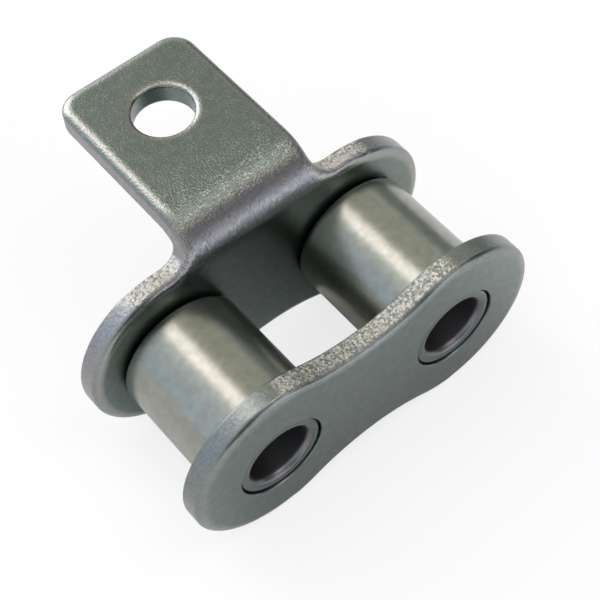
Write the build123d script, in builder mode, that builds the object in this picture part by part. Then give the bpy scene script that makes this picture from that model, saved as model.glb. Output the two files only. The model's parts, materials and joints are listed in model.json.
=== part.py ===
from build123d import *
import os

# Inner link of a half-inch pitch roller chain, with a bent attachment tab.
#
# Two stamped side plates are held apart by two bushings that are pressed into
# them, and a roller turns on each bushing. The far plate carries the tab: its
# blank is folded outward above the chain and has one bolt hole.
#
# The origin is on the axis of the left bushing, midway between the plates.
# +X runs along the chain to the right bushing, +Y points to the plate with the
# tab, and +Z points up to the tab. The link stands on the round ends of its
# plates. All sizes are in millimetres.

# Chain
pitch = 12.7
inner_width = 8.1  # free width between the plates
plate_thickness = 1.4
plate_height = 11.55  # across a round end
waist_depth = 1.28  # how far a waist is drawn in from the height of the round ends
rim_roll_radius = 0.4  # where the punch draws the sheet down, on the side away from the tab
rim_radius = 0.08  # where it breaks through, on the side with the tab

# Rollers
roller_diameter = 7.9
roller_wall = 1.1
roller_running_clearance = 0.05  # round the bushing, on the radius
roller_end_clearance = 0.1  # to each plate
roller_edge_radius = 0.45
roller_bore_chamfer = 0.15

# Bushings
bushing_wall = 0.8
bushing_recess = 0.1  # from the outside of each plate in to the bushing's end
bushing_edge_radius = 0.25
bushing_lip_radius = 0.4

# Attachment tab
tab_fold_drop = 0.5  # from the top of the round ends down to where the fold starts
tab_bend_radius = 1.6  # inside the fold
tab_width = 9.05
tab_corner_radius = 1.5
tab_root_radius = 1.5
tab_reach = 17.15  # from the middle of the chain to the end of the tab
tab_hole_diameter = 3.7
tab_hole_to_end = 4.65  # from the middle of the hole to the end of the tab
tab_hole_roll_radius = 0.2  # on the top of the tab
tab_hole_edge_radius = 0.08  # underneath

match = 0.001  # two measures closer than this are the same

# Places that follow from the sizes
middle = pitch / 2
end_radius = plate_height / 2
waist_height = end_radius - waist_depth
plate_inside = inner_width / 2
plate_outside = plate_inside + plate_thickness
tab_underside = end_radius - tab_fold_drop + tab_bend_radius
tab_top = tab_underside + plate_thickness
tab_hole_reach = tab_reach - tab_hole_to_end
bushing_length = 2 * (plate_outside - bushing_recess)
roller_length = inner_width - 2 * roller_end_clearance
roller_bore = roller_diameter - 2 * roller_wall
bushing_diameter = roller_bore - 2 * roller_running_clearance
bushing_bore = bushing_diameter - 2 * bushing_wall
bushing_places = {"left": 0, "right": pitch}

# A waist is one arc that leaves both round ends smoothly, so its radius follows
# from the pitch, the end radius and its depth.
waist_radius = (middle**2 + waist_height**2 - end_radius**2) / (2 * waist_depth)
share = end_radius / (end_radius + waist_radius)
touch_x = middle * share
touch_z = (waist_height + waist_radius) * share

# Side view of a plate, the same for both: two round ends and two waists
with BuildSketch() as side_view:
    with BuildLine():
        left_low, left_high = (touch_x, -touch_z), (touch_x, touch_z)
        right_low, right_high = (pitch - touch_x, -touch_z), (pitch - touch_x, touch_z)
        ThreePointArc(left_low, (-end_radius, 0), left_high)
        ThreePointArc(left_high, (middle, waist_height), right_high)
        ThreePointArc(right_high, (pitch + end_radius, 0), right_low)
        ThreePointArc(right_low, (middle, -waist_height), left_low)
    make_face()

# Plain side plate, on the side away from the tab
with BuildPart() as plain_plate:
    with BuildSketch(Plane.XZ.offset(plate_inside)):
        add(side_view.sketch)
    extrude(amount=plate_thickness)
    sides = plain_plate.faces().filter_by(Axis.Y).sort_by(Axis.Y)
    fillet(sides[0].edges(), radius=rim_roll_radius)
    fillet(sides[-1].edges(), radius=rim_radius)
    with BuildSketch(Plane.XZ.offset(plate_inside)):
        with Locations(*[(x, 0) for x in bushing_places.values()]):
            Circle(bushing_diameter / 2)
    extrude(amount=plate_thickness, mode=Mode.SUBTRACT)

# Side plate with the tab. The folded sheet, seen from the end of the chain, is
# one strip of even thickness; what its blank leaves of it is cut in side view.
with BuildPart() as tab_plate:
    with BuildSketch(Plane.YZ.offset(middle)):
        with BuildLine():
            inner_skin = FilletPolyline(
                (plate_inside, -end_radius),
                (plate_inside, tab_top),
                (tab_reach, tab_top),
                radius=tab_bend_radius + plate_thickness,
            )
            outer_skin = FilletPolyline(
                (plate_outside, -end_radius),
                (plate_outside, tab_underside),
                (tab_reach, tab_underside),
                radius=tab_bend_radius,
            )
            Line(inner_skin @ 0, outer_skin @ 0)
            Line(inner_skin @ 1, outer_skin @ 1)
        make_face()
    extrude(amount=middle + end_radius, both=True)
    # Growing the blank's outline and shrinking it again by the same amount leaves
    # a hollow fillet of that radius at each root of the tab.
    with BuildSketch(Plane.XZ):
        add(side_view.sketch)
        with Locations((middle, tab_top / 2)):
            Rectangle(tab_width, tab_top)
        offset(amount=tab_root_radius, kind=Kind.INTERSECTION)
        offset(amount=-tab_root_radius, kind=Kind.ARC)
    extrude(amount=tab_reach, both=True, mode=Mode.INTERSECT)
    ends = tab_plate.edges().filter_by(Axis.Z).group_by(Axis.Y)[-1]
    fillet(ends, radius=tab_corner_radius)
    # The rim of each skin is smooth all round, so the rounding that starts at
    # the end of the tab runs on round the whole plate.
    tab_end_rims = tab_plate.edges().filter_by(Axis.X).group_by(Axis.Y)[-1].sort_by(Axis.Z)
    fillet(tab_end_rims[-1], radius=rim_roll_radius)
    fillet(tab_end_rims[0], radius=rim_radius)
    with BuildSketch(Plane.XZ.offset(-plate_inside)):
        with Locations(*[(x, 0) for x in bushing_places.values()]):
            Circle(bushing_diameter / 2)
    extrude(amount=-plate_thickness, mode=Mode.SUBTRACT)
    with Locations((middle, tab_hole_reach, tab_top)):
        Hole(tab_hole_diameter / 2, depth=plate_thickness)
    hole_rims = tab_plate.edges().filter_by(GeomType.CIRCLE).filter_by(
        lambda rim: rim.is_closed and abs(rim.radius - tab_hole_diameter / 2) < match
    ).sort_by(Axis.Z)
    fillet(hole_rims[-1], radius=tab_hole_roll_radius)
    fillet(hole_rims[0], radius=tab_hole_edge_radius)

plain_plate.part.label = "plain_plate"
tab_plate.part.label = "tab_plate"
os.makedirs("parts", exist_ok=True)
export_step(plain_plate.part, "parts/plain_plate.step")
export_step(tab_plate.part, "parts/tab_plate.step")

# A bushing and its roller at each end of the pitch
for side, x in bushing_places.items():
    # The bushing fills the plates' holes and ends just inside them. Its outer
    # edges are rounded for pressing in, its lips for the pin.
    with BuildPart() as bushing:
        with BuildSketch(Plane.XZ):
            with Locations((x, 0)):
                Circle(bushing_diameter / 2)
                Circle(bushing_bore / 2, mode=Mode.SUBTRACT)
        extrude(amount=bushing_length / 2, both=True)
        edges_by_radius = bushing.edges().filter_by(GeomType.CIRCLE).group_by(SortBy.RADIUS)
        fillet(edges_by_radius[-1], radius=bushing_edge_radius)
        fillet(edges_by_radius[0], radius=bushing_lip_radius)
    bushing.part.label = f"bushing_{side}"
    export_step(bushing.part, f"parts/bushing_{side}.step")

    # The roller turns on the bushing, with a little play between the plates.
    with BuildPart() as roller:
        with BuildSketch(Plane.XZ):
            with Locations((x, 0)):
                Circle(roller_diameter / 2)
                Circle(roller_bore / 2, mode=Mode.SUBTRACT)
        extrude(amount=roller_length / 2, both=True)
        edges_by_radius = roller.edges().filter_by(GeomType.CIRCLE).group_by(SortBy.RADIUS)
        fillet(edges_by_radius[-1], radius=roller_edge_radius)
        chamfer(edges_by_radius[0], length=roller_bore_chamfer)
    roller.part.label = f"roller_{side}"
    export_step(roller.part, f"parts/roller_{side}.step")
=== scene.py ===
"""Looks of a roller chain's inner link with a bent attachment tab.

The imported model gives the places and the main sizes. This script makes the two stamped
plates, the two bushings and the two rollers as finished meshes in that frame, gives them
their satin plated steel, and sets up a pale floor, soft studio light and the camera.
"""

import json
import logging
import math
from dataclasses import dataclass
from enum import Enum
from typing import Any, ClassVar, Sequence, Union

import bmesh
import bpy
from mathutils import Matrix, Vector
from mathutils.geometry import delaunay_2d_cdt


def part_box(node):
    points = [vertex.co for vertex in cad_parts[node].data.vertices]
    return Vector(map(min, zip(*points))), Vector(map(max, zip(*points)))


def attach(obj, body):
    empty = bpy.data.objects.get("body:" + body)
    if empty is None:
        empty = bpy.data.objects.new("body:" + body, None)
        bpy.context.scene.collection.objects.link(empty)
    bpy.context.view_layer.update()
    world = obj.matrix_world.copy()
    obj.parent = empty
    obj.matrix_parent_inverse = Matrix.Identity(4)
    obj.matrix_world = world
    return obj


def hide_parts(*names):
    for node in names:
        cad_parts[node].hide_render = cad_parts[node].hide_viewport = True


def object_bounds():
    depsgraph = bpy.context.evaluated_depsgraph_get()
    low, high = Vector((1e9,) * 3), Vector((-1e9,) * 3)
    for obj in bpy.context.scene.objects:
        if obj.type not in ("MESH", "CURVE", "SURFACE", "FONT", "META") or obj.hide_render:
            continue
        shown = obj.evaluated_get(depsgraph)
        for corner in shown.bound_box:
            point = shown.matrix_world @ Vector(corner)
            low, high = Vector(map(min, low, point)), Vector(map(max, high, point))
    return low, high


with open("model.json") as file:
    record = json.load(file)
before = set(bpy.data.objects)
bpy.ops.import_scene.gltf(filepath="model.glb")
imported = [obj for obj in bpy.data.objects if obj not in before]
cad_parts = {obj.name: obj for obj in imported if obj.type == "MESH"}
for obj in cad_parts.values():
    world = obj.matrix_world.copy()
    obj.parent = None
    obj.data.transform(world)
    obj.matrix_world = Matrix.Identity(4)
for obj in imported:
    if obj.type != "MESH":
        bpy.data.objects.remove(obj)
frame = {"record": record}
cad_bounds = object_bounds()

LOG = logging.getLogger("chain_link")
MOUNTS = {mount["name"]: mount for mount in frame["record"]["mounts"]}
MM = 0.001
QUARTER = math.pi / 2
WHITE = (1.0, 1.0, 1.0, 1.0)
Colour = tuple[float, float, float]
Span = tuple[float, float]


class Body(Enum):
    """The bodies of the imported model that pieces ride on."""

    LINK = "link"
    LEFT_ROLLER = "left_roller"
    RIGHT_ROLLER = "right_roller"


class Slot(Enum):
    """The record's material slots."""

    PLATE = "plate_steel"
    BUSHING = "bushing_steel"
    ROLLER = "roller_steel"


class Value:
    """A socket of a node tree. Arithmetic on it adds Math nodes to its tree."""

    def __init__(self, graph: "Graph", socket: bpy.types.NodeSocket) -> None:
        """Wraps an output socket of the graph's tree."""
        self.graph = graph
        self.socket = socket

    def __add__(self, other: "Number") -> "Value":
        """The sum."""
        return self.graph.math("ADD", self, other)

    def __radd__(self, other: "Number") -> "Value":
        """The sum, with the number first."""
        return self.graph.math("ADD", other, self)

    def __sub__(self, other: "Number") -> "Value":
        """The difference."""
        return self.graph.math("SUBTRACT", self, other)

    def __rsub__(self, other: "Number") -> "Value":
        """The difference, with the number first."""
        return self.graph.math("SUBTRACT", other, self)

    def __mul__(self, other: "Number") -> "Value":
        """The product."""
        return self.graph.math("MULTIPLY", self, other)

    def __rmul__(self, other: "Number") -> "Value":
        """The product, with the number first."""
        return self.graph.math("MULTIPLY", other, self)

    def __truediv__(self, other: "Number") -> "Value":
        """The quotient."""
        return self.graph.math("DIVIDE", self, other)

    def __rtruediv__(self, other: "Number") -> "Value":
        """The quotient, with the number first."""
        return self.graph.math("DIVIDE", other, self)


Number = Union[Value, float]


class Graph:
    """Adds nodes to a shader tree or a geometry tree."""

    def __init__(self, tree: bpy.types.NodeTree) -> None:
        """Takes over an empty tree."""
        self.tree = tree

    @staticmethod
    def _find(sockets: Any, name: Union[str, int]) -> bpy.types.NodeSocket:
        """The input or output with a name, or with a place among those in use."""
        in_use = [socket for socket in sockets if socket.enabled]
        return in_use[name] if isinstance(name, int) else next(s for s in in_use if s.name == name)

    def add(
        self,
        kind: str,
        settings: dict[str, Any] | None = None,
        inputs: dict[Union[str, int], Any] | None = None,
        output: Union[str, int] = 0,
    ) -> Value:
        """Adds one node.

        Args:
            kind: The node's type.
            settings: Its properties, set first.
            inputs: Values or links for its sockets, by name or place.
            output: The output to return, by name or place.

        Returns:
            The chosen output.
        """
        node = self.tree.nodes.new(kind)
        for name, setting in (settings or {}).items():
            setattr(node, name, setting)
        for name, given in (inputs or {}).items():
            socket = self._find(node.inputs, name)
            if isinstance(given, Value):
                self.tree.links.new(given.socket, socket)
            else:
                socket.default_value = given
        return Value(self, self._find(node.outputs, output))

    def end(self, kind: str, name: str, value: Value) -> None:
        """Adds the tree's output node, with a value for its input of that name."""
        output = self.tree.nodes.new(kind)
        self.tree.links.new(value.socket, output.inputs[name])

    def math(self, operation: str, *values: Number) -> Value:
        """Adds a Math node that takes the values in order."""
        return self.add("ShaderNodeMath", {"operation": operation}, dict(enumerate(values)))

    def fade(self, value: Number, start: float, end: float) -> Value:
        """A smooth step of a value, from 0 at start to 1 at end.

        Args:
            value: What is stepped.
            start: The value at which the result leaves 0. Above end, low values give 1.
            end: The value at which the result reaches 1.

        Returns:
            The step, from 0 to 1.
        """
        inputs = {"Value": value, "From Min": start, "From Max": end}
        return self.add("ShaderNodeMapRange", {"interpolation_type": "SMOOTHSTEP"}, inputs)

    def clamp(self, value: Value, low: float, high: float) -> Value:
        """A value held between two limits."""
        return self.math("MINIMUM", self.math("MAXIMUM", value, low), high)

    def scaled(self, vector: Value, factor: Number) -> Value:
        """A vector times a number."""
        inputs = {"Vector": vector, "Scale": factor}
        return self.add("ShaderNodeVectorMath", {"operation": "SCALE"}, inputs, "Vector")

    def stretched(self, vector: Value, scale: Colour) -> Value:
        """A vector with each of its parts times its own number."""
        return self.add("ShaderNodeMapping", None, {"Vector": vector, "Scale": scale})

    def split(self, vector: Value) -> tuple[Value, Value, Value]:
        """The three parts of a vector."""
        parts = self.add("ShaderNodeSeparateXYZ", None, {"Vector": vector}).socket.node.outputs
        return Value(self, parts["X"]), Value(self, parts["Y"]), Value(self, parts["Z"])

    def join(self, x: Number, y: Number, z: Number) -> Value:
        """A vector of three parts."""
        return self.add("ShaderNodeCombineXYZ", None, {"X": x, "Y": y, "Z": z})

    def mix(self, factor: Number, first: Union[Value, Colour], second: Union[Value, Colour]) -> Value:
        """Mixes two colours.

        Args:
            factor: The share of the second one, held between 0 and 1.
            first: A colour, or a link.
            second: The other one.

        Returns:
            The mixed colour.
        """
        inputs = {"Factor": factor}
        for name, colour in (("A", first), ("B", second)):
            inputs[name] = colour if isinstance(colour, Value) else (*colour, 1.0)
        return self.add("ShaderNodeMix", {"data_type": "RGBA"}, inputs)


def emptied_tree(owner: Union[bpy.types.Material, bpy.types.World]) -> bpy.types.NodeTree:
    """Starts the tree of a material or the world afresh.

    Args:
        owner: What the tree belongs to.

    Returns:
        The tree, without nodes.
    """
    owner.use_nodes = True
    owner.node_tree.nodes.clear()
    return owner.node_tree


def new_object(name: str, data: bpy.types.ID) -> bpy.types.Object:
    """Puts a mesh, a lamp or a camera into the scene.

    Args:
        name: The object's name.
        data: What the object shows.

    Returns:
        The object, at the origin.
    """
    piece = bpy.data.objects.new(name, data)
    bpy.context.scene.collection.objects.link(piece)
    return piece


class FormTree:
    """A geometry tree that shapes a mesh, with named inputs for its sizes."""

    def __init__(self, name: str) -> None:
        """Starts a tree that takes a mesh and gives one back.

        Args:
            name: The tree's name.
        """
        self.tree = bpy.data.node_groups.new(name, "GeometryNodeTree")
        self.graph = Graph(self.tree)
        self.group_input = self.tree.nodes.new("NodeGroupInput")
        self.identifiers: dict[str, str] = {}
        self.tree.interface.new_socket("Shape", in_out="OUTPUT", socket_type="NodeSocketGeometry")
        self.shape = self.take("Shape", "NodeSocketGeometry")
        self.finish = self.take("Finish", "NodeSocketMaterial")

    def take(self, name: str, kind: str = "NodeSocketFloat") -> Value:
        """Adds a named input.

        Args:
            name: The input's name.
            kind: The type of its socket.

        Returns:
            The input's value.
        """
        socket = self.tree.interface.new_socket(name, in_out="INPUT", socket_type=kind)
        self.identifiers[name] = socket.identifier
        return Value(self.graph, self.group_input.outputs[name])

    def close(self, shape: Value) -> None:
        """Ends the tree with smooth, real faces in the piece's finish.

        Args:
            shape: The finished shape.
        """
        smooth = self.graph.add("GeometryNodeSetShadeSmooth", None, {"Geometry": shape})
        real = self.graph.add("GeometryNodeRealizeInstances", None, {"Geometry": smooth})
        inputs = {"Geometry": real, "Material": self.finish}
        dressed = self.graph.add("GeometryNodeSetMaterial", None, inputs)
        self.graph.end("NodeGroupOutput", "Shape", dressed)

    def run(self, name: str, mesh: bpy.types.Mesh, values: dict[str, Any]) -> bpy.types.Object:
        """Shapes one piece.

        Args:
            name: The piece's name.
            mesh: The mesh that the tree starts from.
            values: What goes into the tree's inputs, by name.

        Returns:
            The piece, a plain mesh at the origin.
        """
        piece = new_object(name, mesh)
        modifier = piece.modifiers.new("form", "NODES")
        modifier.node_group = self.tree
        for key, value in values.items():
            modifier[self.identifiers[key]] = value
        depsgraph = bpy.context.evaluated_depsgraph_get()
        result = bpy.data.meshes.new_from_object(
            piece.evaluated_get(depsgraph), preserve_all_data_layers=True, depsgraph=depsgraph
        )
        piece.modifiers.remove(modifier)
        piece.data = result
        result.name = name
        bpy.data.meshes.remove(mesh)
        return piece


class Surface(Graph):
    """A material's tree, with the place on the piece and the marks that its mesh carries."""

    noise_roughness = 0.55

    def __init__(self, material: bpy.types.Material) -> None:
        """Starts the material's tree afresh."""
        super().__init__(emptied_tree(material))
        self.place = self.stretched(self.add("ShaderNodeTexCoord", None, None, "Object"), (1.0 / MM,) * 3)

    def noise(self, size: float, detail: float, place: Value | None = None) -> Value:
        """Soft noise.

        Args:
            size: About how large its features are, in millimetres.
            detail: How many finer layers it has.
            place: Where it is read, if not at the place on the piece.

        Returns:
            The noise, from 0 to 1.
        """
        inputs = {
            "Vector": place or self.place,
            "Scale": 1.0 / size,
            "Detail": detail,
            "Roughness": self.noise_roughness,
        }
        return self.add("ShaderNodeTexNoise", None, inputs)

    def mark(self, name: str) -> Value:
        """A value that the piece's own mesh carries."""
        return self.add("ShaderNodeAttribute", {"attribute_name": name}, None, "Fac")


@dataclass(frozen=True)
class SteelFinish:
    """Satin plated steel: an even grey with faint clouds and a fine frosted grain.

    Sizes are in millimetres and colours are linear. Levels are the noise at which a mark
    starts to show and the noise at which it shows fully.
    """

    name: str
    dark: Colour
    light: Colour
    roughness: float
    grain_depth: float
    cloud_size: float
    metallic: float = 1.0
    cloud_levels: Span = (0.32, 0.68)
    cloud_detail: float = 5.0
    smudge_ratio: float = 2.7  # smudges to clouds, in size
    smudge_detail: float = 3.0
    roughness_spread: float = 0.06
    grain_size: float = 0.1
    fine_detail: float = 2.0
    noise_mean: float = 0.5

    def material(self) -> bpy.types.Material:
        """Builds the material.

        Returns:
            The material, with its nodes.
        """
        material = bpy.data.materials.new(self.name)
        surface = Surface(material)
        bump = {"Strength": 1.0, "Distance": MM, "Height": self.height(surface)}
        looks = {
            "Base Color": self.colour(surface),
            "Metallic": self.metal(surface),
            "Roughness": self.gloss(surface),
            "Normal": surface.add("ShaderNodeBump", None, bump),
        }
        steel = surface.add("ShaderNodeBsdfPrincipled", None, looks)
        surface.end("ShaderNodeOutputMaterial", "Surface", steel)
        return material

    def colour(self, surface: Surface) -> Value:
        """The plating's colour, with faint clouds."""
        clouds = surface.noise(self.cloud_size, self.cloud_detail)
        return surface.mix(surface.fade(clouds, *self.cloud_levels), self.dark, self.light)

    def metal(self, surface: Surface) -> Number:
        """How metallic the surface is."""
        return self.metallic

    def gloss(self, surface: Surface) -> Value:
        """The plating's roughness, which smudges change a little."""
        smudge = surface.noise(self.cloud_size * self.smudge_ratio, self.smudge_detail)
        return self.roughness + self.roughness_spread * (smudge - self.noise_mean)

    def height(self, surface: Surface) -> Value:
        """The height of the frosted grain, in millimetres."""
        return self.grain_depth * surface.noise(self.grain_size, self.fine_detail)


@dataclass(frozen=True)
class StampedFinish(SteelFinish):
    """Plated sheet steel, torn at its walls, with painted highlights on its rims and across its bend, and
    pebbles and streaks at its bend that carry painted glints, painted shade and a painted mauve
    reflection.

    A rise or a fall is where along the fold a mark comes or goes: 0 is where the fold
    starts, 1 where it ends, and more is on the tab.
    """

    sheared: Colour = (0.26, 0.265, 0.29)
    # paler cream colour on the rounded rims: a painted highlight
    rolled: Colour = (0.33, 0.315, 0.28)
    rim_polish: float = 0.14
    # pale spots on the torn walls: partly the torn grain's own paler tone, partly painted glints
    torn_grain_and_glints: Colour = (0.5, 0.475, 0.42)
    torn_size: float = 0.2
    torn_detail: float = 4.0
    torn_depth: float = 0.1
    torn_roughness: float = 0.2
    spot_size: float = 0.16
    spot_detail: float = 3.0
    spot_levels: Span = (0.38, 0.62)
    pebble_size: float = 0.13
    pebble_depth: float = 0.036
    pebble_rise: Span = (0.4, 0.62)
    pebble_thinning: Span = (1.0, 1.6)
    pebble_loss: float = 0.4
    patch_levels: Span = (0.4, 0.6)
    patch_least: float = 0.4
    # pale specks and dark specks over the skin's pebbles: painted glints and painted shade
    painted_glint: Colour = (0.42, 0.45, 0.4)
    painted_glint_levels: Span = (0.54, 0.68)
    sparkle_size: float = 0.09
    painted_pit_shade: Colour = (0.1, 0.12, 0.112)
    painted_pit_shade_levels: Span = (0.48, 0.34)
    # mauve tint over the bend's lower band: a painted reflection
    painted_mauve_reflection: Colour = (0.225, 0.21, 0.212)
    streak_and_tint_rise: Span = (0.04, 0.14)
    streak_and_tint_fall: Span = (0.5, 0.75)
    painted_mauve_share: float = 0.7
    streak_width: float = 0.06
    streak_length: float = 0.5
    streak_depth: float = 0.05
    # pale lavender band across the bend's lower part, broken by streaks: a painted highlight
    painted_highlight: Colour = (0.37, 0.395, 0.41)
    painted_highlight_rise: Span = (0.07, 0.15)
    painted_highlight_fall: Span = (0.26, 0.5)
    painted_highlight_levels: Span = (0.35, 0.65)
    painted_highlight_least: float = 0.55
    painted_highlight_gain: float = 0.7

    def colour(self, surface: Surface) -> Value:
        """The plating's colour, changed by the marks of the bend and then by those of the rims: on the
        bend painted glints, painted shade specks, a painted mauve reflection and a painted highlight
        band; on the rims a painted highlight; on the torn walls pale spots that are partly painted
        glints.

        Args:
            surface: The material's tree.

        Returns:
            The colour.
        """
        patches = surface.fade(surface.noise(self.cloud_size, self.fine_detail), *self.patch_levels)
        pebbles_and_sparkle = (self.patch_least + (1.0 - self.patch_least) * patches) * self.pebbles_and_sparkle(surface)
        # painted shade in dark specks and painted glints in pale specks over the pebbles
        sparkle_noise = surface.noise(self.sparkle_size, self.fine_detail)
        pit_shade_share = pebbles_and_sparkle * surface.fade(sparkle_noise, *self.painted_pit_shade_levels)
        pit_shaded = surface.mix(pit_shade_share, super().colour(surface), self.painted_pit_shade)
        glinted = surface.mix(pebbles_and_sparkle * surface.fade(sparkle_noise, *self.painted_glint_levels), pit_shaded, self.painted_glint)
        # a painted mauve reflection over the bend's lower band
        mauve_painted = surface.mix(self.streak_and_tint_band(surface) * self.painted_mauve_share, glinted, self.painted_mauve_reflection)
        # a painted highlight band across the bend, broken by streaks
        gaps = surface.fade(self.streaks(surface), *self.painted_highlight_levels)
        line = self.band(surface, self.painted_highlight_rise, self.painted_highlight_fall)
        broken = line * (self.painted_highlight_least + self.painted_highlight_gain * gaps)
        highlighted = surface.mix(broken, mauve_painted, self.painted_highlight)
        # the rounded rims get a painted highlight in a paler cream colour
        rimmed = surface.mix(surface.mark("rolled"), highlighted, self.rolled)
        torn = surface.mark("torn")
        walled = surface.mix(surface.mark("sheared") * (1.0 - torn), rimmed, self.sheared)
        # pale spots on the torn walls, partly painted glints
        spots = surface.fade(surface.noise(self.spot_size, self.spot_detail), *self.spot_levels)
        return surface.mix(spots * torn, walled, self.torn_grain_and_glints)

    @staticmethod
    def band(surface: Surface, rise: Span, fall: Span) -> Value:
        """A band across the bend on the punch's skin, 1 between its rise and its fall."""
        fold = surface.mark("fold")
        return surface.fade(fold, *rise) * (1.0 - surface.fade(fold, *fall)) * surface.mark("skin")

    def streak_and_tint_band(self, surface: Surface) -> Value:
        """How streaked the skin is over the bend's lower part, where the same band also carries a painted
        mauve reflection.
        """
        return self.band(surface, self.streak_and_tint_rise, self.streak_and_tint_fall)

    def pebbles_and_sparkle(self, surface: Surface) -> Value:
        """How much the skin has pebbles, which also carry the painted glints and painted shade specks:
        fully over the bend's upper part, and less on the tab.

        Args:
            surface: The material's tree.

        Returns:
            The share, from 0 to 1.
        """
        fold = surface.mark("fold")
        kept = 1.0 - self.pebble_loss * surface.fade(fold, *self.pebble_thinning)
        return surface.fade(fold, *self.pebble_rise) * kept * surface.mark("skin")

    def streaks(self, surface: Surface) -> Value:
        """Noise stretched out across the bend, from 0 to 1."""
        scale = (1.0 / self.streak_width, 1.0 / self.streak_length, 1.0 / self.streak_length)
        return surface.noise(1.0, self.fine_detail, surface.stretched(surface.place, scale))

    def gloss(self, surface: Surface) -> Value:
        """The plating's roughness, which is higher on the torn walls and lower on the rounded rims."""
        rims = self.rim_polish * surface.mark("rolled")
        return super().gloss(surface) + self.torn_roughness * surface.mark("torn") - rims

    def height(self, surface: Surface) -> Value:
        """The height of the grain, the torn walls, and the bend's pebbles and streaks.

        Args:
            surface: The material's tree.

        Returns:
            The height, in millimetres.
        """
        torn = surface.noise(self.torn_size, self.torn_detail) * surface.mark("torn")
        pebbles = surface.noise(self.pebble_size, self.fine_detail) * self.pebbles_and_sparkle(surface)
        streaks = self.streaks(surface) * self.streak_and_tint_band(surface)
        marks = self.torn_depth * torn + self.pebble_depth * pebbles + self.streak_depth * streaks
        return super().height(surface) + marks


@dataclass(frozen=True)
class BushingFinish(SteelFinish):
    """Plated steel with a dull bore, where the plating is thin."""

    bore: Colour = (0.17, 0.175, 0.185)
    bore_metal: float = 0.97
    bore_roughness: float = 0.15

    def colour(self, surface: Surface) -> Value:
        """The plating's colour outside and the dull colour in the bore."""
        return surface.mix(surface.mark("bored"), super().colour(surface), self.bore)

    def metal(self, surface: Surface) -> Number:
        """How metallic the surface is, which is less in the bore."""
        return self.metallic - (self.metallic - self.bore_metal) * surface.mark("bored")

    def gloss(self, surface: Surface) -> Value:
        """The plating's roughness, which is higher in the bore."""
        return super().gloss(surface) + self.bore_roughness * surface.mark("bored")


class Outline:
    """A smooth closed outline in the plane of a flat blank, walked with the metal on its left.

    Every point has the normal that points out of the metal, so a rim of any section can
    follow the outline.
    """

    least_steps = 2

    def __init__(self, step: float) -> None:
        """Starts an empty outline.

        Args:
            step: The distance between its points.
        """
        self.step = step
        self.points: list[Vector] = []
        self.normals: list[Vector] = []

    def arc(self, centre: Sequence[float], radius: float, start: float, end: float) -> "Outline":
        """Adds an arc, without its last point.

        Args:
            centre: The arc's centre.
            radius: Its radius.
            start: The angle at which it starts, in radians.
            end: The angle at which it ends. Past start the metal is inside the arc.

        Returns:
            The outline.
        """
        count = max(self.least_steps, round(abs(end - start) * radius / self.step))
        side = 1.0 if end > start else -1.0
        for index in range(count):
            angle = start + (end - start) * index / count
            ray = Vector((math.cos(angle), math.sin(angle)))
            self.points.append(Vector(centre) + ray * radius)
            self.normals.append(ray * side)
        return self

    def line(self, start: Sequence[float], end: Sequence[float]) -> None:
        """Adds a straight run, without its last point.

        Args:
            start: Where it starts.
            end: Where it ends.
        """
        run = Vector(end) - Vector(start)
        count = max(self.least_steps, round(run.length / self.step))
        normal = Vector((run.y, -run.x)).normalized()
        for index in range(count):
            self.points.append(Vector(start) + run * (index / count))
            self.normals.append(normal.copy())


@dataclass(frozen=True)
class PlateSizes:
    """Sizes of the stamped plates, in metres."""

    pitch: float
    end_radius: float
    inside: float
    thickness: float
    bushing_radius: float
    tab_top: float
    tab_end: float
    tab_hole_place: float
    tab_hole_radius: float
    waist_depth: float = 1.28 * MM
    tab_width: float = 9.05 * MM
    tab_corner_radius: float = 1.5 * MM
    tab_root_radius: float = 1.5 * MM
    bend_radius: float = 1.6 * MM
    roll_radius: float = 0.4 * MM
    roll_reach: float = 0.78 * MM
    burr_radius: float = 0.08 * MM
    hole_roll_radius: float = 0.2 * MM
    hole_roll_reach: float = 0.5 * MM
    outline_step: float = 0.07 * MM
    flat_margin: float = 0.04 * MM

    @property
    def outside(self) -> float:
        """Distance from the middle of the chain to the outside of a plate."""
        return self.inside + self.thickness

    @property
    def fold_start(self) -> float:
        """Height at which the fold of the tab starts."""
        return self.tab_top - self.thickness - self.bend_radius

    @property
    def fold_length(self) -> float:
        """Length of the blank that goes into the fold, measured at the middle of the sheet."""
        return (self.bend_radius + self.thickness / 2) * QUARTER

    def in_blank(self, reach: float) -> float:
        """Height in the flat blank of a place on the tab, at a reach from the middle of the chain."""
        return self.fold_start + self.fold_length + reach - self.outside - self.bend_radius


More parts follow.
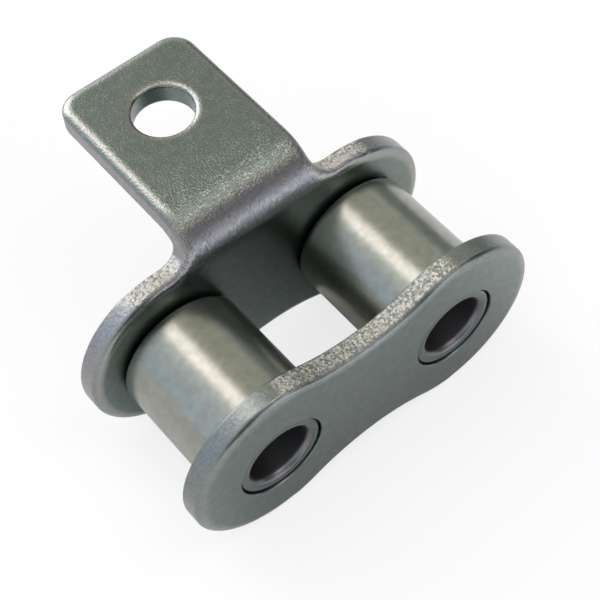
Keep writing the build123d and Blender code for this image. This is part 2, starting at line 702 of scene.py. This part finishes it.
@dataclass(frozen=True)
class StampedPlate:
    """A side plate, stamped from sheet and plated.

    The punch rounds the rims on its own side, and tears the walls behind them. Sizes are in
    metres, and shares say how strongly a mark shows.
    """

    sizes: PlateSizes
    name: str
    node: str
    punch_side: float
    has_tab: bool
    torn_reach: Span  # where the upper wall is torn, along the chain
    tear_strength: float
    # how strongly the rounded rims show their lower roughness and their painted highlight
    rim_share: float
    shear_share: float
    torn_fade: float = 0.7 * MM
    torn_narrowing: float = 0.25
    torn_least: float = 0.15
    wall_start: float = 0.5  # of the rounding's depth
    wall_fade: float = 0.4  # of the rounding's depth
    roll_steps: int = 12
    burr_steps: int = 3
    wall_steps: int = 16
    fold_cuts: int = 36
    fill_match: float = 1e-9
    cut_match: float = 1e-8
    weld: float = 0.002 * MM
    tear_size: float = 0.24 * MM
    tear_depth: float = 0.05 * MM
    tear_seed: float = 3.0
    tear_level: ClassVar[float] = 0.7  # the noise above which the wall stays whole
    tear_detail: ClassVar[float] = 3.0
    tear_roughness: ClassVar[float] = 0.6
    marks: ClassVar[tuple[str, ...]] = ("torn", "sheared", "rolled")
    inputs: ClassVar[tuple[str, ...]] = (
        "Punch Side", "Thickness", "Fold Start", "Bend Radius", "Tear Size", "Tear Depth", "Seed"
    )

    def build(self, form: FormTree, finish: bpy.types.Material) -> bpy.types.Object:
        """Makes the plate and seats it in the frame.

        Args:
            form: The tree that tears the walls and folds the tab.
            finish: The plate's finish.

        Returns:
            The finished plate.
        """
        s = self.sizes
        fold_start = s.fold_start if self.has_tab else s.tab_top
        tears = (self.tear_size, self.tear_depth, self.tear_seed)
        values = zip(self.inputs, (self.punch_side, s.thickness, fold_start, s.bend_radius, *tears))
        plate = form.run(self.name, self.blank(), {"Finish": finish, **dict(values)})
        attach(plate, Body.LINK.value)
        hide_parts(self.node)
        return plate

    @classmethod
    def form(cls) -> FormTree:
        """Builds the tree that tears a blank's walls and folds its tab.

        The fold wraps the blank above its start round the bend. A point in the fold has
        turned by its share of the bend, and one past it lies flat on the tab.

        Returns:
            The tree.
        """
        form = FormTree("stamped plate")
        graph = form.graph
        punch_side, thickness, start, bend, tear_size, tear_depth, seed = map(form.take, cls.inputs)

        place = graph.add("GeometryNodeInputPosition")
        number = {"data_type": "FLOAT"}
        torn = graph.add("GeometryNodeInputNamedAttribute", number, {"Name": "torn"}, "Attribute")
        inputs = {
            "Vector": place,
            "W": seed,
            "Scale": 1.0 / tear_size,
            "Detail": cls.tear_detail,
            "Roughness": cls.tear_roughness,
        }
        tears = graph.add("ShaderNodeTexNoise", {"noise_dimensions": "4D"}, inputs)
        depths = graph.math("MINIMUM", tears - cls.tear_level, 0.0) * tear_depth * torn
        push = graph.scaled(graph.add("GeometryNodeInputNormal"), depths)
        marked = graph.add("GeometryNodeSetPosition", None, {"Geometry": form.shape, "Offset": push})

        x, y, z = graph.split(place)
        depth = y - punch_side
        middle_radius = bend + thickness / 2.0
        length = middle_radius * QUARTER
        turn = graph.clamp((z - start) / middle_radius, 0.0, QUARTER)
        radius = bend + thickness - depth
        beyond = graph.math("MAXIMUM", z - start - length, 0.0)
        folded_y = punch_side + thickness + bend - radius * graph.math("COSINE", turn) + beyond
        folded_z = graph.math("MINIMUM", z, start) + radius * graph.math("SINE", turn)
        for name, value in {"fold": (z - start) / length, "skin": 1.0 - depth / thickness}.items():
            inputs = {"Geometry": marked, "Name": name, "Value": value}
            marked = graph.add("GeometryNodeStoreNamedAttribute", {**number, "domain": "POINT"}, inputs)
        folded = graph.join(x, folded_y, folded_z)
        form.close(graph.add("GeometryNodeSetPosition", None, {"Geometry": marked, "Position": folded}))
        return form

    def outline(self) -> Outline:
        """The blank's outline in side view.

        Returns:
            The closed outline, with the tab growing out of the upper waist if there is one.
        """
        s = self.sizes
        middle = s.pitch / 2
        waist_height = s.end_radius - s.waist_depth
        waist_radius = (middle**2 + waist_height**2 - s.end_radius**2) / (2 * s.waist_depth)
        waist_centre = waist_height + waist_radius
        touch = math.atan2(waist_centre, middle)
        half_waist = QUARTER - touch
        full_turn = 2 * math.pi
        right = (s.pitch, 0.0)
        outline = Outline(s.outline_step)
        outline.arc((middle, -waist_centre), waist_radius, QUARTER + half_waist, QUARTER - half_waist)
        if not self.has_tab:
            outline.arc(right, s.end_radius, touch - math.pi, math.pi - touch)
            outline.arc((middle, waist_centre), waist_radius, half_waist - QUARTER, -half_waist - QUARTER)
            outline.arc((0.0, 0.0), s.end_radius, touch, full_turn - touch)
            return outline
        side = middle + s.tab_width / 2
        root_x = side + s.tab_root_radius
        reach = s.end_radius + s.tab_root_radius
        root_z = math.sqrt(reach**2 - (root_x - s.pitch) ** 2)
        root = math.atan2(root_z, root_x - s.pitch)
        top = s.in_blank(s.tab_end)
        corner = s.tab_corner_radius
        outline.arc(right, s.end_radius, touch - math.pi, root)
        outline.arc((root_x, root_z), s.tab_root_radius, root + math.pi, math.pi)
        outline.line((side, root_z), (side, top - corner))
        outline.arc((side - corner, top - corner), corner, 0.0, QUARTER)
        outline.line((side - corner, top), (s.pitch - side + corner, top))
        outline.arc((s.pitch - side + corner, top - corner), corner, QUARTER, math.pi)
        outline.line((s.pitch - side, top - corner), (s.pitch - side, root_z))
        outline.arc((s.pitch - root_x, root_z), s.tab_root_radius, 0.0, -root)
        outline.arc((0.0, 0.0), s.end_radius, math.pi - root, full_turn - touch)
        return outline

    def rims(self) -> list[tuple[Outline, Span, bool]]:
        """Every closed rim of the blank.

        Returns:
            Outlines, each with the depth and the reach of its rounding on the punch's side
            and whether its wall is torn.
        """
        s = self.sizes
        rims = [(self.outline(), (s.roll_radius, s.roll_reach), True)]
        holes = [((x, 0.0), s.bushing_radius, (s.burr_radius, s.burr_radius)) for x in (0.0, s.pitch)]
        if self.has_tab:
            middle = (s.pitch / 2, s.in_blank(s.tab_hole_place))
            holes.append((middle, s.tab_hole_radius, (s.hole_roll_radius, s.hole_roll_reach)))
        for middle, radius, roll in holes:
            rims.append((Outline(s.outline_step).arc(middle, radius, 2 * math.pi, 0.0), roll, False))
        return rims

    def section(self, roll: float, reach: float) -> list[Span]:
        """The section of a rim, from the punch's side through the sheet.

        Args:
            roll: Depth of the rounding on the punch's side.
            reach: How far the rounding reaches in from the outline.

        Returns:
            Pairs of how far the rim lies inside the outline, and how deep in the sheet.
        """
        s = self.sizes
        rows = [(reach + s.flat_margin, 0.0)]
        for index in range(self.roll_steps + 1):
            angle = QUARTER * index / self.roll_steps
            rows.append((reach * (1 - math.sin(angle)), roll * (1 - math.cos(angle))))
        wall = s.thickness - roll - s.burr_radius
        for index in range(1, self.wall_steps + 1):
            rows.append((0.0, roll + wall * index / self.wall_steps))
        for index in range(1, self.burr_steps + 1):
            angle = QUARTER * index / self.burr_steps
            inset = s.burr_radius * (1 - math.cos(angle))
            rows.append((inset, s.thickness - s.burr_radius * (1 - math.sin(angle))))
        rows.append((s.burr_radius + s.flat_margin, s.thickness))
        return rows

    @staticmethod
    def roll_share(inset: float, depth: float, roll: float, reach: float) -> float:
        """How much the rim is its rounding on the punch's side, from 0 at its edges to 1."""
        return max(0.0, math.sin(math.pi * inset / reach)) if depth < roll else 0.0

    def wall_share(self, depth: float) -> float:
        """How much the rim is a sheared wall at a depth, from 0 on the rounding to 1."""
        roll = self.sizes.roll_radius
        return min(1.0, max(0.0, (depth - self.wall_start * roll) / (self.wall_fade * roll)))

    def tear_share(self, point: Vector) -> float:
        """How torn the wall is at a place, which is less at the plate's far ends and up the tab.

        Args:
            point: The place, on the outline.

        Returns:
            The share, up to 1.
        """
        start, end = self.torn_reach
        tab_root = self.sizes.end_radius + self.torn_fade
        within = min(point.x - start, end - point.x, tab_root - point.y)
        return min(1.0, max(self.torn_least, within / self.torn_fade))

    def sweep(
        self, mesh: bmesh.types.BMesh, outline: Outline, roll: Span, is_torn: bool
    ) -> list[list[bmesh.types.BMVert]]:
        """Carries a rim's section round its outline.

        Args:
            mesh: The blank, which gets the rim's faces.
            outline: The outline.
            roll: Depth and reach of the rounding on the punch's side.
            is_torn: Whether the wall is torn.

        Returns:
            The vertices in rows round the outline, from the punch's side through the sheet.
        """
        torn, sheared, rolled = (mesh.verts.layers.float[mark] for mark in self.marks)
        wall_end = self.sizes.thickness - self.sizes.burr_radius / 2
        rows = []
        for inset, depth in self.section(*roll):
            row = []
            for point, normal in zip(outline.points, outline.normals):
                tear = self.tear_share(point) if is_torn else 0.0
                narrowing = self.torn_narrowing * tear if depth < roll[0] else 0.0
                flat = point - normal * (inset * (1.0 - narrowing))
                vertex = mesh.verts.new((flat.x, self.punch_side + depth, flat.y))
                # the rounding's share, which the finish turns into the rims' lower roughness and their
                # painted highlight
                vertex[rolled] = self.rim_share * self.roll_share(inset, depth, *roll)
                if is_torn and depth < wall_end:
                    vertex[sheared] = self.shear_share * self.wall_share(depth)
                    vertex[torn] = self.tear_strength * self.wall_share(depth) * tear
                row.append(vertex)
            rows.append(row)
        count = len(outline.points)
        for upper, lower in zip(rows, rows[1:]):
            for index in range(count):
                after = (index + 1) % count
                mesh.faces.new((upper[index], upper[after], lower[after], lower[index]))
        return rows

    def blank(self) -> bpy.types.Mesh:
        """Builds the flat blank.

        Returns:
            The mesh, standing in the plate's own plane.
        """
        mesh = bmesh.new()
        for mark in self.marks:
            mesh.verts.layers.float.new(mark)
        swept = [self.sweep(mesh, *rim) for rim in self.rims()]
        for side in (0, -1):
            self.fill(mesh, [rows[side] for rows in swept])
        if self.has_tab:
            self.cut_for_fold(mesh)
        bmesh.ops.recalc_face_normals(mesh, faces=mesh.faces)
        blank = bpy.data.meshes.new("blank")
        mesh.to_mesh(blank)
        mesh.free()
        return blank

    def fill(self, mesh: bmesh.types.BMesh, loops: list[list[bmesh.types.BMVert]]) -> None:
        """Fills the flat between an outer loop and the loops of its round holes.

        Args:
            mesh: The blank.
            loops: The vertices of each loop in order, the outer loop first.
        """
        vertices = [vertex for loop in loops for vertex in loop]
        owners = [owner for owner, loop in enumerate(loops) for _ in loop]
        edges = []
        for loop in loops:
            first = len(edges)
            edges += [(first + index, first + (index + 1) % len(loop)) for index in range(len(loop))]
        flat = [Vector((vertex.co.x, vertex.co.z)) for vertex in vertices]
        keep_inside = 1
        _, _, triangles, sources, _, _ = delaunay_2d_cdt(flat, edges, [], keep_inside, self.fill_match)
        for triangle in triangles:
            corners = [sources[corner][0] for corner in triangle]
            touched = {owners[corner] for corner in corners}
            if len(touched) > 1 or 0 in touched:
                mesh.faces.new([vertices[corner] for corner in corners])

    def cut_for_fold(self, mesh: bmesh.types.BMesh) -> None:
        """Cuts the blank across its fold, so that it can bend smoothly.

        Args:
            mesh: The blank.
        """
        s = self.sizes
        up = (0.0, 0.0, 1.0)
        for index in range(self.fold_cuts + 1):
            place = (0.0, 0.0, s.fold_start + s.fold_length * index / self.fold_cuts)
            parts = mesh.verts[:] + mesh.edges[:] + mesh.faces[:]
            bmesh.ops.bisect_plane(mesh, geom=parts, dist=self.cut_match, plane_co=place, plane_no=up)
        bmesh.ops.remove_doubles(mesh, verts=mesh.verts, dist=self.weld)


@dataclass(frozen=True)
class TurnedTube:
    """A turned steel tube across the chain, with rounded edges. Sizes are in metres."""

    name: str
    node: str
    body: Body
    slot: Slot
    place: float
    length: float
    radius: float
    bore_radius: float
    edge_radius: float
    lip_radius: float
    section_step: float = 0.12 * MM
    segments: int = 160

    def build(self, form: FormTree, finish: bpy.types.Material) -> bpy.types.Object:
        """Makes the tube and seats it in the frame.

        Args:
            form: The tree that turns a section.
            finish: The tube's finish.

        Returns:
            The finished tube.
        """
        values = {
            "Finish": finish,
            "Middle Radius": (self.radius + self.bore_radius) / 2,
            "Place": self.place,
            "Segments": self.segments,
        }
        tube = form.run(self.name, self.section(), values)
        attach(tube, self.body.value)
        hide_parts(self.node)
        return tube

    @staticmethod
    def form() -> FormTree:
        """Builds the tree that turns a section round a tube's axis.

        Returns:
            The tree.
        """
        form = FormTree("turned tube")
        graph = form.graph
        radius = form.take("Middle Radius")
        place = form.take("Place")
        segments = form.take("Segments", "NodeSocketInt")
        circle = {"Resolution": segments, "Radius": radius}
        path = graph.add("GeometryNodeCurvePrimitiveCircle", None, circle)
        section = graph.add("GeometryNodeMeshToCurve", None, {"Mesh": form.shape})
        turned = graph.add("GeometryNodeCurveToMesh", None, {"Curve": path, "Profile Curve": section})
        seat = {"Translation": graph.join(place, 0.0, 0.0), "Rotation": (QUARTER, 0.0, 0.0)}
        form.close(graph.add("GeometryNodeTransform", None, {"Geometry": turned, **seat}))
        return form

    def section(self) -> bpy.types.Mesh:
        """The tube's section, a closed line round the middle of its wall.

        Returns:
            A mesh of edges only, across the wall in X and along the tube in Y.
        """
        wall = (self.radius - self.bore_radius) / 2
        half = self.length / 2
        edge, lip = self.edge_radius, self.lip_radius
        outline = Outline(self.section_step)
        outline.arc((wall - edge, half - edge), edge, 0.0, QUARTER)
        outline.line((wall - edge, half), (lip - wall, half))
        outline.arc((lip - wall, half - lip), lip, QUARTER, 2 * QUARTER)
        outline.line((-wall, half - lip), (-wall, lip - half))
        outline.arc((lip - wall, lip - half), lip, 2 * QUARTER, 3 * QUARTER)
        outline.line((lip - wall, -half), (wall - edge, -half))
        outline.arc((wall - edge, edge - half), edge, 3 * QUARTER, 4 * QUARTER)
        outline.line((wall, edge - half), (wall, half - edge))
        count = len(outline.points)
        mesh = bpy.data.meshes.new("section")
        mesh.from_pydata(
            [(point.x, point.y, 0.0) for point in outline.points],
            [(index, (index + 1) % count) for index in range(count)],
            [],
        )
        bored = mesh.attributes.new("bored", "FLOAT", "POINT")
        for entry, point in zip(bored.data, outline.points):
            entry.value = float(point.x < lip / 2 - wall)
        return mesh


@dataclass(frozen=True)
class View:
    """The camera: where it looks from, in degrees, how far away, and how it is moved across its view."""

    azimuth: float = -35.80
    elevation: float = 56.42
    roll: float = -4.31
    lens: float = 92.456
    distance: float = 88.53 * MM
    move_right: float = -0.5 * MM
    move_up: float = 1.672 * MM
    clip_start: float = 1.0 * MM


@dataclass(frozen=True)
class Lamp:
    """A soft rectangular lamp that points at the link."""

    name: str
    direction: tuple[float, float, float]
    size: Span
    power: float
    colour: Colour
    distance: float = 0.5


@dataclass(frozen=True)
class Panel:
    """A soft round patch of the even light from all around.

    Its colour is full up to the inner angle and has faded at the outer one, in degrees.
    """

    direction: tuple[float, float, float]
    inner: float
    outer: float
    colour: Colour


@dataclass(frozen=True)
class Studio:
    """The pale floor, the soft lamp, the light from all around and the camera."""

    view: View
    target: Vector
    floor_height: float
    lamp: Lamp
    surround: Colour
    panels: tuple[Panel, ...]
    floor_grey: float = 0.92
    floor_reach: float = 1.0
    clear_share: float = 0.77
    clear_in_metal: float = 0.02

    def build(self) -> None:
        """Adds everything round the link."""
        self.add_camera()
        self.add_floor()
        self.add_lamp()
        self.set_world()

    def add_camera(self) -> None:
        """Adds the camera."""
        azimuth = math.radians(self.view.azimuth)
        elevation = math.radians(self.view.elevation)
        level = math.cos(elevation)
        back = Vector((math.sin(azimuth) * level, -math.cos(azimuth) * level, math.sin(elevation)))
        right = (-back).cross(Vector((0.0, 0.0, 1.0))).normalized()
        up = right.cross(-back)
        turn = math.radians(self.view.roll)
        tilted_right = right * math.cos(turn) + up * math.sin(turn)
        tilted_up = up * math.cos(turn) - right * math.sin(turn)
        shift = tilted_right * self.view.move_right + tilted_up * self.view.move_up
        place = self.target + shift + back * self.view.distance
        data = bpy.data.cameras.new("camera")
        data.lens = self.view.lens
        data.clip_start = self.view.clip_start
        camera = new_object("camera", data)
        axes = Matrix((tilted_right, tilted_up, back)).transposed()
        camera.matrix_world = Matrix.Translation(place) @ axes.to_4x4()
        bpy.context.scene.camera = camera

    def add_floor(self) -> None:
        """Adds the floor. The camera sees it paler than it is, with its shadows."""
        reach = self.floor_reach
        corners = [(-reach, -reach), (reach, -reach), (reach, reach), (-reach, reach)]
        mesh = bpy.data.meshes.new("floor")
        mesh.from_pydata([(x, y, self.floor_height) for x, y in corners], [], [(0, 1, 2, 3)])
        floor = new_object("floor", mesh)
        material = bpy.data.materials.new("floor")
        graph = Graph(emptied_tree(material))
        grey = (self.floor_grey,) * 3 + (1.0,)
        paper = graph.add("ShaderNodeBsdfDiffuse", None, {"Color": grey, "Roughness": 1.0})
        clear = graph.add("ShaderNodeEmission", None, {"Color": WHITE, "Strength": 1.0})
        rays = graph.add("ShaderNodeLightPath").socket.node.outputs
        camera, glossy = (Value(graph, rays[name]) for name in ("Is Camera Ray", "Is Glossy Ray"))
        share = camera * self.clear_share + glossy * self.clear_in_metal
        both = graph.add("ShaderNodeMixShader", None, {"Fac": share, 1: paper, 2: clear})
        graph.end("ShaderNodeOutputMaterial", "Surface", both)
        mesh.materials.append(material)

    def add_lamp(self) -> None:
        """Adds the lamp."""
        data = bpy.data.lights.new(self.lamp.name, "AREA")
        data.shape = "RECTANGLE"
        data.size, data.size_y = self.lamp.size
        data.energy = self.lamp.power
        data.color = self.lamp.colour
        piece = new_object(self.lamp.name, data)
        way = Vector(self.lamp.direction).normalized()
        piece.location = self.target + way * self.lamp.distance
        piece.rotation_euler = way.to_track_quat("Z", "Y").to_euler()

    def set_world(self) -> None:
        """Sets the even light from all around, with its panels."""
        world = bpy.data.worlds.new("studio")
        bpy.context.scene.world = world
        graph = Graph(emptied_tree(world))
        way = graph.add("ShaderNodeTexCoord", None, None, "Generated")
        colour = self.surround
        for panel in self.panels:
            middle = Vector(panel.direction).normalized()
            dot = {"operation": "DOT_PRODUCT"}
            nearness = graph.add("ShaderNodeVectorMath", dot, {0: way, 1: middle}, "Value")
            edge, core = math.cos(math.radians(panel.outer)), math.cos(math.radians(panel.inner))
            colour = graph.mix(graph.fade(nearness, edge, core), colour, panel.colour)
        light = graph.add("ShaderNodeBackground", None, {"Color": colour, "Strength": 1.0})
        graph.end("ShaderNodeOutputWorld", "Surface", light)


PLATE_FINISH = StampedFinish(
    name="plate steel",
    dark=(0.146, 0.179, 0.168),
    light=(0.173, 0.211, 0.198),
    roughness=0.29,
    grain_depth=0.006,
    cloud_size=0.5,
)
BUSHING_FINISH = BushingFinish(
    name="bushing steel",
    dark=(0.112, 0.14, 0.14),
    light=(0.138, 0.168, 0.168),
    roughness=0.24,
    grain_depth=0.002,
    cloud_size=1.1,
)
ROLLER_FINISH = SteelFinish(
    name="roller steel",
    dark=(0.27, 0.29, 0.25),
    light=(0.315, 0.335, 0.295),
    roughness=0.25,
    grain_depth=0.003,
    cloud_size=0.6,
    metallic=0.93,
)

# Radii of the outer edges and of the bore's lips
BUSHING_EDGES = (0.25 * MM, 0.4 * MM)
ROLLER_EDGES = (0.45 * MM, 0.15 * MM)
ROLLER_CLEARANCE = 0.05 * MM  # round the bushing

LAMP = Lamp("key", (-0.13, 0.46, 0.88), (0.165, 0.36), 0.47, (1.0, 0.84, 0.87))
SURROUND = (1.06, 1.07, 1.09)
# Directions, angles and colours. A later panel covers the ones before it.
PANELS = (
    # In front, dark, between the lights in the bend
    Panel((0.45, -0.88, 0.15), 42.0, 76.0, (0.08, 0.08, 0.1)),
    # Behind, bright in the rims that lean that way
    Panel((-0.3, 0.92, 0.25), 15.0, 38.0, (5.6, 5.6, 5.7)),
    # Above, in the tab's top
    Panel((0.4, 0.45, 0.8), 16.0, 36.0, (0.72, 0.69, 0.6)),
    # On the right, in the rollers' dark side
    Panel((0.88, 0.45, 0.14), 12.0, 25.0, (0.28, 0.3, 0.28)),
    # Three bands down the bend
    Panel((0.32, -0.27, 0.91), 6.0, 17.0, (3.9, 3.5, 3.1)),
    Panel((0.32, -0.75, 0.58), 14.0, 27.0, (0.74, 0.65, 0.7)),
    Panel((0.32, -0.94, 0.1), 8.0, 22.0, (2.2, 2.15, 2.4)),
    # On the left, bluish in the rollers' pale side
    Panel((-0.85, 0.45, 0.2), 18.0, 50.0, (0.9, 0.98, 1.15)),
)


def plate_sizes() -> PlateSizes:
    """Reads the plates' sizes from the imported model.

    Returns:
        The sizes.
    """
    low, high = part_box("plain_plate")
    bushing_low, bushing_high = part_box("bushing_left")
    tab_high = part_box("tab_plate")[1]
    return PlateSizes(
        pitch=MOUNTS["right_bushing_bore"]["pos_m"][0],
        end_radius=(high.z - low.z) / 2,
        inside=-high.y,
        thickness=high.y - low.y,
        bushing_radius=(bushing_high.z - bushing_low.z) / 2,
        tab_top=tab_high.z,
        tab_end=tab_high.y,
        tab_hole_place=MOUNTS["tab_hole"]["pos_m"][1],
        tab_hole_radius=MOUNTS["tab_hole"]["dims"]["r_mm"] * MM,
    )


def plates(sizes: PlateSizes) -> list[StampedPlate]:
    """Describes the side plates.

    Args:
        sizes: Their sizes.

    Returns:
        The plain plate and the one with the tab.
    """
    return [
        StampedPlate(
            sizes=sizes,
            name="plain_side_plate",
            node="plain_plate",
            punch_side=-sizes.outside,
            has_tab=False,
            torn_reach=(0.3 * MM, 13.2 * MM),
            tear_strength=1.0,
            rim_share=0.14,
            shear_share=0.2,
        ),
        StampedPlate(
            sizes=sizes,
            name="tab_side_plate",
            node="tab_plate",
            punch_side=sizes.inside,
            has_tab=True,
            torn_reach=(-2.3 * MM, 15.0 * MM),
            tear_strength=1.6,
            rim_share=0.42,
            shear_share=1.0,
        ),
    ]


def tubes(sizes: PlateSizes) -> list[TurnedTube]:
    """Describes the bushings and the rollers.

    Args:
        sizes: The plates' sizes.

    Returns:
        The four tubes.
    """
    bushing_radii = (sizes.bushing_radius, MOUNTS["left_bushing_bore"]["dims"]["r_mm"] * MM)
    roller_bore = sizes.bushing_radius + ROLLER_CLEARANCE
    result = []
    for side, place, body in (("left", 0.0, Body.LEFT_ROLLER), ("right", sizes.pitch, Body.RIGHT_ROLLER)):
        low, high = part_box(f"bushing_{side}")
        names = (f"{side}_bushing_tube", f"bushing_{side}")
        seat = (Body.LINK, Slot.BUSHING, place, high.y - low.y)
        result.append(TurnedTube(*names, *seat, *bushing_radii, *BUSHING_EDGES))
        low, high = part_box(f"roller_{side}")
        names = (f"{side}_roller_tube", f"roller_{side}")
        seat = (body, Slot.ROLLER, place, high.y - low.y)
        result.append(TurnedTube(*names, *seat, (high.z - low.z) / 2, roller_bore, *ROLLER_EDGES))
    return result


def main() -> None:
    """Builds the link and the studio."""
    logging.basicConfig(level=logging.INFO, format="%(message)s")
    bpy.context.scene.view_settings.view_transform = "Standard"
    sizes = plate_sizes()
    plate_form = StampedPlate.form()
    plate_steel = PLATE_FINISH.material()
    pieces = [plate.build(plate_form, plate_steel) for plate in plates(sizes)]
    tube_form = TurnedTube.form()
    finishes = {Slot.BUSHING: BUSHING_FINISH.material(), Slot.ROLLER: ROLLER_FINISH.material()}
    pieces += [tube.build(tube_form, finishes[tube.slot]) for tube in tubes(sizes)]
    for piece in pieces:
        LOG.info("%s: %d faces", piece.name, len(piece.data.polygons))
    Studio(View(), Vector((sizes.pitch / 2, 0.0, 0.0)), cad_bounds[0][2], LAMP, SURROUND, PANELS).build()


if __name__ == "__main__":
    main()
